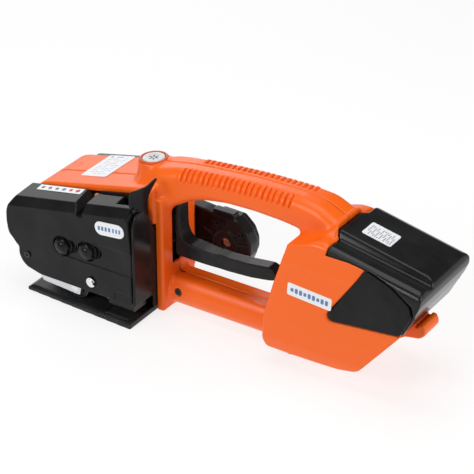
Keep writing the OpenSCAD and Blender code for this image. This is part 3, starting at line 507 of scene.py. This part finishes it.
def build_cover():
    F = Field((-71, -53, 17), (50, -24, 101), 0.5)
    d, bulk, u, w = cover_volume(F)
    inner = np.maximum(bulk + 3, -49 - F.y)
    pads = np.minimum(rod(F, 1, NUTS[0], -50, -45.4, 11), rod(F, 1, NUTS[1], -50, -45.4, 11))
    inner = cut(inner, pads, 0.5)
    inner = np.minimum(inner, box3(F, (-46, -49, 8), (45, -20, 24)))
    # walls kept round the groove, channel and notch in the top
    clear = np.minimum(np.maximum(np.maximum(49 - u, u - 66.4), -w - 10.9),
                       np.maximum(np.maximum(58 - u, -w - 10.9), -F.y - 32))
    clear = np.minimum(clear, np.maximum(np.maximum(87.2 - u, -w - 7.4), -F.y - 42.2))
    d = cut(d, cut(inner, clear, 0.3), 0.4)
    for n in NUTS:
        # teardrop recess that trails off to the rear
        drop = capsule(F, (n[0], -52, n[1]), (n[0] + 9, -54.4, n[1] + 1.6), 6.2)
        d = cut(d, np.minimum(rod(F, 1, n, -54, -48.8, 8.4), drop), 1.0)
        d = cut(d, rod(F, 1, n, -53, -44, 3), 0.3)
    band = poly(F.x, F.z, [(-17, 43.3), (52, 43.3), (52, 62.7), (16, 62.7), (9, 60.6), (-4, 54)], 2.5)
    d = cut(d, np.maximum(band, F.y + 50.8), 0.35)
    low = poly(F.x, F.z, [(30, 10), (52, 10), (52, 26.8), (33, 26.8)], 2)
    d = cut(d, np.maximum(low, F.y + 51.1), 0.35)
    # groove across the top: raked at the front, steep at the rear
    groove = poly(u, w, [(51.4, 3), (58.2, -5), (58.8, -8.5), (64, -8.5), (64, 5), (51.4, 5)])
    d = cut(d, np.maximum(groove, np.abs(F.y + 38.5) - 15), 0.4)
    # channel beside the orange housing, and the notch at the rear corner
    d = cut(d, np.maximum(np.maximum(61 - u, -w - 8.5), np.abs(F.y + 27.9) - 1.7), 0.4)
    d = cut(d, np.maximum(np.maximum(89.6 - u, -w - 5), np.abs(F.y + 32.9) - 6.9), 0.4)
    # sloped lip at the cover's rear top corner
    d = cut(d, 0.35 * (F.y + 48) - 0.7 * (F.x - 45.6) - 0.5 * (F.z - 93.5), 0.8)
    d = cut(d, rod(F, 1, PIVOT, -53, -48, 3.0), 0.5)
    d = cut(d, rod(F, 1, PIVOT, -54, -51.4, 5.2), 0.6)
    d = cut(d, rod(F, 1, (-50, 33), -53, -48, 1.6), 0.3)
    # window beside the weld ring
    d = cut(d, box3(F, (44, -39.2, 25), (51, -28.8, 51), 0.5), 0.3)
    solid("cover_moulding", F, d, GLOSS, "frame", ["front_cover"])


PACK_SIDE = [(0, -2), (2, 0.5), (74, 0.5), (79.4, -1.6), (82.4, -6), (83, -12), (81, -23), (75.6, -42.6),
             (73, -PACK_D), (3, -PACK_D), (0, -42)]
PACK_END = mirror([(0, 0), (14.0, 0), (15.6, -1), (18.4, -4), (20.6, -4.3), (23, -3.2), (27, -1.7), (32, -2.2),
                   (35.6, -4), (37.4, -6.6), (38, -10), (38, -PACK_D), (0, -PACK_D)])
PACK_FAR = [(0, 0), (14.2, 0), (14.7, -0.7), (15.2, -0.2), (30, -1.2), (35.6, -4), (37.4, -6.6), (38, -10),
            (38, -PACK_D), (0, -PACK_D)]
PACK_BODY = mirror([(0, 1), (35.2, 1), (35.2, -42), (32, -PACK_D), (0, -PACK_D)])
LOBE = [(0, -2), (2, 0.5), (74, 0.5), (79.4, -1.6), (82.4, -6), (83, -12), (81, -22.5), (77.4, -14), (61, -7.6),
        (38, -5.0), (0, -4.9)]


def build_pack():
    F = Field((190, -39, 54), (290, 39, 120), 0.6)
    u, w = F.turned(PACK0, PACK_SLOPE)
    flank = np.clip((np.abs(F.y) - 13.4) / 5.5, 0, 1)
    sunk = w + 1.3 * flank * np.clip(1 - u / 72, 0, 1)
    # the far side carries only a thin line where the near side has its groove
    end = np.minimum(poly(F.y, sunk, PACK_END, 1.4), poly(F.y, w, PACK_FAR, 1.4))
    body = smax(smax(poly(u, w, PACK_SIDE, 3), end, 1.6), poly(F.y, w, PACK_BODY, 2), 0.8)
    lobes = smax(poly(u, w, LOBE, 1.6), end, 1.4)
    d = np.minimum(body, lobes)
    step = 4.8 * np.clip((np.abs(F.y) - 15) / 4, 0, 1)
    d = smax(d, step - u, 1.2)
    hollow = smax(d + 1.6, 1.8 - u, 0.3)
    d = cut(d, hollow, 0.3)
    d = cut(d, np.maximum(np.maximum(np.abs(F.y) - 14, np.abs(w + 19.5) - 8.5), np.abs(u) - 3), 0.3)
    solid("pack_shell", F, d, PACK, "battery", ["battery_shell"])


def build_tray():
    panel = [pack_pt(37.4, -5.4), pack_pt(50, -6.7), pack_pt(61, -8.3), pack_pt(70, -11.6), pack_pt(76, -14.8),
             pack_pt(79.4, -23), (269.6, 61), (214, 55), (211.6, 56.6), (210.8, 60)]
    F = Field((190, -39, 49), (282, 39, 104), 0.6)
    side = poly(F.x, F.z, panel, 2) + 0.2
    d = np.minimum(ext(side, F.y, -38, -35.5, 0.6), ext(side, F.y, 35.5, 38, 0.6))
    u, w = F.turned(PACK0, PACK_SLOPE)
    floor = np.maximum(np.maximum(12.5 - u, u - 71), np.maximum(np.abs(w + PACK_D + 1.3) - 0.9, np.abs(F.y) - 35.2))
    floor = np.minimum(floor, np.maximum(np.maximum(side, np.abs(w + PACK_D + 1.3) - 0.9), np.abs(F.y) - 35.9))
    floor = cut(floor, np.maximum(54 - u, np.abs(F.y) - 13.6), 0.3)
    solid("tray_panels", F, np.minimum(d, floor), SATIN, "frame", ["battery_tray"])


LEVER_BAR = [(58, 45), (76, 44.8), (104, 44.6), (126, 46), (142, 48.6), (147.4, 50.4), (148.6, 54), (146, 58),
             (140, 59), (122, 56.6), (104, 55.6), (84, 56), (70, 57.4), (65, 60), (62.6, 65), (61.8, 72), (61.6, 90),
             (60.6, 95.6), (58, 96)]


def build_lever():
    F = Field((39, -8, 43), (150, 8, 98), 0.42)
    narrow = np.clip((F.x - 84) / 14, 0, 1) * 1.2
    bar = ext(poly(F.x, F.z, LEVER_BAR, 3), F.y, -7, 7, 1.0)
    bar = smax(bar, np.abs(F.y) - (7 - narrow), 1.2)
    web = poly(F.x, F.z, [(44, 65.6), (59, 62), (59, 80), (44, 76.4)], 2)
    hub = np.minimum(rod(F, 1, LEVER, -5, 5, 6), ext(web, F.y, -5, 5, 0.5))
    d = smin(bar, hub, 0.6)
    hollow = poly(F.x, F.z, [(64, 42), (136, 42), (136, 50.4), (120, 53.4), (84, 53), (68, 54.6), (64, 54)], 2)
    d = cut(d, ext(hollow, F.y, -4.8, 4.8, 0.6), 0.5)
    # raised paddle pad with a step at its front
    pad = poly(F.x, F.z, [(92, 50), (144, 53), (147, 56.4), (141.4, 59.6), (122, 57.2), (104, 56.2), (94, 56.6)], 2)
    d = np.minimum(d, ext(pad, F.y, -5.6, 5.6, 0.8))
    d = cut(d, rod(F, 1, LEVER, -9, 9, 2.55), 0.2)
    solid("lever_moulding", F, d, LEVER_MAT, "lever", ["operating_lever"])


CASE = [(-56, 26), (-57, 70), (-50, 80), (0, 91.5), (12, 90), (44, 68), (58, 67), (66, 66), (88, 65.5), (97, 57),
        (101, 47), (101, 38), (97, 28), (88, 19.5), (66, 18), (56, 22), (48, 20), (10, 14), (-46, 16)]
CAP = [(66, 64), (86, 63.6), (94.6, 56), (98.4, 47), (98.4, 38), (94.6, 29), (86, 21.4), (68, 20), (59.4, 27),
       (56, 36), (56, 47), (59.6, 57)]


def build_case():
    F = Field((-58, 31, 13), (102, 51, 93), 0.55)
    side = poly(F.x, F.z, CASE, 2)
    d = ext(side, F.y, 32.1, 43.6, 1.0)
    cap = poly(F.x, F.z, CAP, 2)
    d = smin(d, ext(cap, F.y, 40, 50.4, 1.4), 1.2)
    inner = np.minimum(ext(side + 2.2, F.y, 35.4, 41.8), rod(F, 1, WELD_MOTOR, 40.3, 48.9, 18))
    d = cut(d, inner, 0.3)
    d = cut(d, ext(side + 2.4, F.y, 30, 33.9), 0.4)
    # ribs, rings and screw bosses facing the handle
    dx, dz = F.x - WELD_MOTOR[0], F.z - WELD_MOTOR[1]
    rr = np.sqrt(dx ** 2 + dz ** 2)
    ang = np.arctan2(dz, dx)
    spoke = np.abs(((ang - 0.21) / (math.pi / 5) + 0.5) % 1 - 0.5) * (math.pi / 5) * rr - 0.7
    ribs = np.minimum(np.maximum(spoke, np.abs(rr - 17) - 6), np.abs(rr - 11.2) - 0.9)
    bosses = [(18 * math.cos(math.radians(i * 72 + 40)), 18 * math.sin(math.radians(i * 72 + 40))) for i in range(5)]
    for bx, bz in bosses:
        ribs = np.minimum(ribs, np.sqrt((dx - bx) ** 2 + (dz - bz) ** 2) - 2.8)
    ribs = np.maximum(np.maximum(ribs, side + 1), np.abs(F.y - 33.6) - 1.1)
    d = np.minimum(d, ribs)
    d = smin(d, box3(F, (66, 32.1, 64), (86, 40, 69.5), 0.8), 0.6)
    for bx, bz in bosses:
        d = cut(d, rod(F, 1, (WELD_MOTOR[0] + bx, WELD_MOTOR[1] + bz), 30, 34.4, 1.3), 0.3)
    d = cut(d, rod(F, 1, WELD_MOTOR, 30, 37, 4), 0.4)
    d = cut(d, rod(F, 1, ECC, 30, 37, 9), 0.3)
    # cooling slots on the far face
    for i in range(5):
        d = cut(d, box3(F, (70, 48, 30 + 5 * i), (88, 51, 31.8 + 5 * i), 0.5), 0.4)
    solid("drive_case_moulding", F, d, PACK, "frame", ["drive_case"])


LATCH_SIDE = [(252, 43.4), (256, 41), (260, 43.2), (271.5, 45.2), (275.6, 49), (276, 53), (274, 57), (271, 57.6),
              (269.4, 55), (267.6, 54.6), (266.9, 59), (264.8, 59.2), (263.6, 54.4), (254, 48)]


def build_latch():
    F = Field((250, -12, 39), (277, 12, 60), 0.4)
    d = ext(poly(F.x, F.z, LATCH_SIDE, 2.2), F.y, -11, 11, 1.6)
    d = smin(d, rod(F, 1, LATCH, -11, 11, 3.6, 0.4), 0.8)
    d = cut(d, rod(F, 1, LATCH, -20, 20, 1.55), 0.2)
    solid("latch_moulding", F, d, ORANGE, "latch", ["battery_latch"])


def build_flange():
    F = Field((47, -52, 3), (52, -16, 97), 0.42)
    outline = [(-50.5, 17), (-50.5, 86), (-46, 95), (-37, 95.5), (-30, 87.5), (-24.2, 76.3), (-20.5, 66),
               (-19.5, 60.6), (-16.5, 60.6), (-16.5, 4.5), (-26, 4.5), (-26, 17)]
    d = ext(poly(F.y, F.z, outline, 3), F.x, 48.5, 50.7, 0.7)
    solid("rear_column", F, d, GLOSS, "frame", ["rear_flange"])


def build_fin():
    F = Field((42, -49, 94), (57, -21, 119), 0.36)
    c, e = math.cos(math.radians(66)), math.sin(math.radians(66))
    along = (F.x - 44.6) * c + (F.y + 45.5) * e
    off = -(F.x - 44.6) * e + (F.y + 45.5) * c
    off = off + 1.7 * np.sin(np.clip(along / 24, 0, 1) * math.pi)
    outline = [(-0.4, 95), (-0.4, 110), (1.6, 113), (8, 113.9), (14.5, 115), (20, 117.6), (23, 118.5), (24, 117.4),
               (20, 113.5), (16, 108), (14.5, 103), (14, 95)]
    d = ext(poly(along, F.z, outline, 1.6), off, -0.85, 0.85, 0.35)
    d = cut(d, box3(F, (38, -47, 90), (46.7, -37.6, 100)), 0.3)
    d = smin(d, box3(F, (46.8, -46, 95.6), (48.5, -32, 98), 0.4), 0.8)
    solid("strap_fin", F, d, GLOSS, "frame", ["strap_guard"])


def build_sole():
    F = Field((-54, -57, -1), (50, 29, 6), 0.55)
    outline = [(-53, -51), (49, -56), (49, 28), (-53, 26)]
    lean = 0.049                    # the near edge's lean per millimetre of X
    near = -(F.y + 56 - (F.x - 49) * -lean)
    d = ext(poly(F.x, F.y, outline, 1.2), F.z, 0, SOLE_TOP, 0.3)
    # bevels: along the near edge, and a broad one at the front
    slope = math.radians(32)
    d = smax(d, (F.z - SOLE_TOP) * math.cos(slope) + (near + 2.6) * math.sin(slope), 0.3)
    d = smax(d, (F.z - SOLE_TOP) * 0.84 - (F.x + 49.2) * 0.54, 0.3)
    # scoop under the tension wheel and the slot beside the teeth
    d = cut(d, np.maximum(np.sqrt((F.x + 8) ** 2 + (F.z - 15.2) ** 2) - 12.2, np.abs(F.y + 39) - 10.4), 0.5)
    d = cut(d, box3(F, (21.8, -49.3, 2.4), (46.2, -28.8, 6)), 0.3)
    d = cut(d, box3(F, (22, -51.6, 3.6), (44, -50.6, 6)), 0.2)
    # ruled marks on the near edge
    for i in range(9):
        tall = 1.5 if i % 4 == 0 else 0.9
        x = 20 + 2.8 * i
        y = -51 - (x + 53) * lean
        d = cut(d, box3(F, (x - 0.45, y - 1, 2.6 - tall), (x + 0.45, y + 0.9, 5)), 0.2)
    solid("sole_plate", F, d, SOLE, "frame", ["base_plate"])


CHEEK = [(-41, 17.6), (-38.5, 11.8), (-3, 9.7), (-1.6, 17.5), (6, 21.4), (12, 21), (17, 24), (18, 28), (16.4, 33),
         (11, 35), (5, 34), (-14, 27), (-37, 23.5)]


def build_rocker():
    F = Field((-43, -50, 8), (20, -27, 36), 0.42)
    cheek = poly(F.x, F.z, CHEEK, 1.4)
    d = np.minimum(ext(cheek, F.y, -48.97, -45.4, 0.5), ext(cheek, F.y, -32, -28.4, 0.5))
    web = poly(F.x, F.z, [(-37, 23.5), (-40.6, 17.6), (-24, 15.5), (-21, 22.5), (-12, 27.8)], 1)
    d = smin(d, ext(web, F.y, -46, -31.5), 1.0)
    d = cut(d, rod(F, 1, PIVOT, -50, -27, 2.55), 0.2)
    d = cut(d, rod(F, 1, WHEEL, -48.7, -27, 5.02), 0.2)
    solid("rocker_casting", F, d, ALLOY, "rocker", ["rocker_arm"])


def build_gripper():
    F = Field((20, -50, 8), (48, -28, 50), 0.36)
    saw = 0.9 - np.abs((F.x / 2.4) % 1 - 0.5) * 1.8
    front = ext(np.maximum(np.abs(F.x - 34) - 12, 0 * F.z), F.y, -48.6, -45.6)
    front = np.maximum(front, np.maximum(F.z - 16.4, 12.8 + saw * 1.3 - F.z))
    teeth = 9 + 0.8 - np.abs((F.x / 2.0) % 1 - 0.5) * 1.6
    pad = np.maximum(np.maximum(np.abs(F.x - 34) - 12, np.abs(F.y + 37.6) - 8), np.maximum(F.z - 16, teeth - F.z))
    d = np.minimum(front, pad)
    d = smin(d, box3(F, (31, -38, 15.8), (41, -30, 30), 0.5), 0.8)
    d = smin(d, rod(F, 1, ECC, -38, -30, 10.4, 0.4), 0.8)
    d = cut(d, rod(F, 1, ECC, -39, -29, 8.02), 0.2)
    solid("gripper_block", F, d, TOOTH, "weld_gripper", ["weld_gripper"])


def build_nuts():
    """Domed hexagon nuts with a washer face, on studs."""
    F = Field((-25, -56, 43), (16, -30, 62), 0.42)
    d = None
    for n, turn in zip(NUTS, (12, 25)):
        hexagon = [(n[0] + 7.2 * math.cos(math.radians(60 * k + turn)),
                    n[1] + 7.2 * math.sin(math.radians(60 * k + turn))) for k in range(6)]
        rr = np.sqrt((F.x - n[0]) ** 2 + (F.z - n[1]) ** 2)
        nut = ext(poly(F.x, F.z, hexagon, 0.6), F.y, -54, -48.65, 0.3)
        nut = smax(nut, 0.5 * (rr - 6.9) + 0.86 * (-53 - F.y), 0.3)
        dome = np.sqrt(rr ** 2 + (F.y + 49.4) ** 2) - 6.3
        nut = smin(nut, np.maximum(dome, rr - 5.2), 0.3)
        nut = np.minimum(nut, rod(F, 1, n, -50, -31, 2.4))
        nut = np.minimum(nut, rod(F, 1, n, -49.4, -48.65, 7.9, 0.2))
        d = nut if d is None else np.minimum(d, nut)
    d = np.maximum(d, -55.85 - F.y)
    solid("knob_nuts", F, d, GLOSS, "frame", ["cover_nuts"])


def tilted(at, degrees):
    """Matrix of a frame at `at` (mm), turned about Y."""
    return Matrix.Translation(Vector(at) * MM) @ Matrix.Rotation(math.radians(degrees), 4, "Y")


def build_button():
    """Button with a raised rim, a dished face and a moulded mark; and the ring around it."""
    steps = 72
    full = [2 * math.pi * k / steps for k in range(steps)]
    for name, mat, body, nodes, slot, profile in (
        ("button_cap", BUTTON, "button", ["push_button"], "button_grey",
         [(0, 0.30), (2.2, 0.32), (4.6, 0.45), (5.2, 0.62), (5.6, 0.95), (6.2, 1.02), (7.6, 1.0), (8.4, 0.85),
          (8.75, 0.5), (8.8, 0.0), (8.8, -5), (2.6, -5), (2.6, -13), (0, -13)]),
        ("button_ring", ORANGE_DARK, "frame", ["button_bezel"], "orange_shell",
         [(9.2, -1.9), (9.2, 0.7), (9.4, 0.95), (10.0, 1.0), (10.7, 0.95), (11.1, 0.6), (11.5, -0.15),
          (11.4, -0.3)])):
        bm = bmesh.new()
        rings = []
        for r, z in profile:
            rings.append([bm.verts.new((r * math.cos(a) * MM, r * math.sin(a) * MM, z * MM))
                          for a in (full if r else [0])])
        if profile[0][0]:
            rings.append(rings[0])
        for a, b in zip(rings, rings[1:]):
            for k in range(steps):
                quad = [a[k % len(a)], a[(k + 1) % len(a)], b[(k + 1) % len(b)], b[k % len(b)]]
                quad = list(dict.fromkeys(quad))
                if len(quad) > 2:
                    bm.faces.new(quad)
        bmesh.ops.recalc_face_normals(bm, faces=bm.faces)
        bm.transform(tilted(BUTTON_AT, -BUTTON_TILT))
        mesh = bpy.data.meshes.new(name)
        bm.to_mesh(mesh)
        bm.free()
        mesh.materials.append(mat)
        finish_mesh(bpy.data.objects.new(name, mesh), body, nodes)
    spokes = [(r * math.cos(math.radians(a)), r * math.sin(math.radians(a)), w, h, a)
              for r, w, h, step in ((2.6, 3.0, 1.3, 60), (5.0, 0.35, 2.4, 30)) for a in range(0, 360, step)]
    x, y, z = BUTTON_AT
    marks("button_mark", tilted((x, y, z + 0.05), -BUTTON_TILT), INK, "button", spokes, 0.34, 0.06)


def marks(name, matrix, mat, body, bars, lift=0.0, thick=0.04):
    """Printed bars: centre x, y, width, height and turn, on the plane Z = lift of `matrix`, in mm."""
    bm = bmesh.new()
    for x, y, w, h, a in bars:
        r = min(w, h) * 0.3
        corners = ((1, 1, 0), (-1, 1, 90), (-1, -1, 180), (1, -1, 270))
        ring = [(sx * (w / 2 - r) + r * math.cos(math.radians(q)), sy * (h / 2 - r) + r * math.sin(math.radians(q)))
                for sx, sy, q0 in corners for q in (q0, q0 + 45, q0 + 90)]
        c, e = math.cos(math.radians(a)), math.sin(math.radians(a))
        top = [bm.verts.new(((x + u * c - v * e) * MM, (y + u * e + v * c) * MM, (lift + thick) * MM))
               for u, v in ring]
        low = [bm.verts.new((v.co.x, v.co.y, lift * MM)) for v in top]
        bm.faces.new(top)
        bm.faces.new(low[::-1])
        for k in range(len(top)):
            after = (k + 1) % len(top)
            bm.faces.new((low[k], low[after], top[after], top[k]))
    bm.transform(matrix)
    mesh = bpy.data.meshes.new(name)
    bm.to_mesh(mesh)
    bm.free()
    mesh.materials.append(mat)
    return finish_mesh(bpy.data.objects.new(name, mesh), body, smooth=False)


def build_coil():
    """The return spring, copied from its CAD node and fixed to the frame."""
    spring = NODES["button_spring"]
    mesh = spring.data.copy()
    mesh.name = "button_coil"
    mesh.transform(spring.matrix_world)
    mesh.materials.clear()
    mesh.materials.append(STEEL)
    coil = finish_mesh(bpy.data.objects.new("button_coil", mesh), "frame", ["button_spring"])
    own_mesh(coil)


def build_prints():
    """Plain rows of bars and dots on the labels and the panel."""
    near = Matrix.Rotation(math.radians(90), 4, "X")
    head = Matrix.Translation((0.030, -0.05235, 0.0796)) @ near @ Matrix.Rotation(math.radians(6), 4, "Z")
    marks("head_label_print", head, INK_BLUE, "frame",
          [(-9.6 + 3.2 * i, 0, 2.0, 3.6, -8) for i in range(4)]
          + [(3.6 + 2.9 * i, 0, 1.5, 3.6, -8) for i in range(3)])
    side = Matrix.Translation((0.196, -0.03835, 0.070)) @ near @ Matrix.Rotation(math.radians(-4), 4, "Z")
    marks("side_label_print", side, INK_BLUE, "frame",
          [(-14.4 + 3.6 * i, 0, 2.5, 4.2 if i % 3 else 3.0, 0) for i in range(9)])
    pack = Matrix.Translation((PACK0[0] * MM, 0, PACK0[1] * MM)) @ Matrix.Rotation(math.radians(PACK_SLOPE), 4, "Y")
    marks("battery_label_print", pack, INK, "battery",
          [(16.6 + 1.75 * i, -3.4 + 1.75 * j, 1.0, 1.0, 0) for i in range(12) for j in range(7)
           if (i * 5 + j * 3) % 7 not in (0, 3)], 0.35)
    top = (Matrix.Translation((-0.0285, -0.009, head_z(-28.5) * MM))
           @ Matrix.Rotation(math.radians(-TOP_SLOPE), 4, "Y"))
    marks("control_panel_print", top, INK_BLUE, "frame",
          [(6 + 4.6 * i, 4.5 + 3.3 * j, 3.4, 0.45, 0) for i in range(4) for j in range(10) if (i + 2 * j) % 5]
          + [(4.4, 36.4, 2.4, 1.6, 0), (12.5, 36.4, 6, 1.0, 0)], 0.5)
    strip = (Matrix.Translation((COVER_TOP[0] * MM, 0, COVER_TOP[1] * MM))
             @ Matrix.Rotation(math.radians(-COVER_SLOPE), 4, "Y") @ Matrix.Translation((0.007, -0.0335, 0.00094))
             @ Matrix.Rotation(math.radians(7.2), 4, "X"))
    marks("symbol_strip_dark", strip, INK, "frame",
          [(4.5 + 6.8 * i, 3.5, 3.0, 3.0, 45 * (i % 2)) for i in range(4)], 0.76)
    marks("symbol_strip_blue", strip, INK_BLUE, "frame", [(24.9, 3.5, 3.4, 3.4, 0)], 0.81)
    marks("symbol_strip_red", strip, INK_RED, "frame", [(38.5, 3.5, 3.8, 3.8, 22), (31.7, 3.5, 3.2, 3.2, 0)], 0.76)


for build in (build_housing, build_cover, build_pack, build_tray, build_lever, build_case, build_latch,
              build_flange, build_fin, build_sole, build_rocker, build_gripper, build_nuts, build_button,
              build_coil, build_prints):
    build()

# ---------- carried-over CAD nodes ----------
FINER = {"housing_screws": DARK, "side_screw": DARK, "tension_wheel": TOOTH, "lower_tooth_plate": TOOTH,
         "tension_anvil": TOOTH, "wheel_bearings": BRIGHT, "drive_case_screws": DARK}
for name, o in NODES.items():
    mat = FINER.get(name, BY_SLOT[SLOT_OF[name]])
    o.data.materials.clear()
    o.data.materials.append(mat)

# ---------- floor ----------
bpy.ops.mesh.primitive_plane_add(size=12, location=(0, 0, -0.0002))
floor = bpy.context.object
floor.name = "floor"
pale = bpy.data.materials.new("pale_floor")
pale.use_nodes = True
pale_surface = pale.node_tree.nodes["Principled BSDF"].inputs
pale_surface["Base Color"].default_value = (0.24, 0.24, 0.24, 1)
pale_surface["Roughness"].default_value = 0.8
pale_surface["Specular IOR Level"].default_value = 0.1
pale_surface["Emission Color"].default_value = (1, 1, 1, 1)
pale_surface["Emission Strength"].default_value = 0.76
floor.data.materials.append(pale)
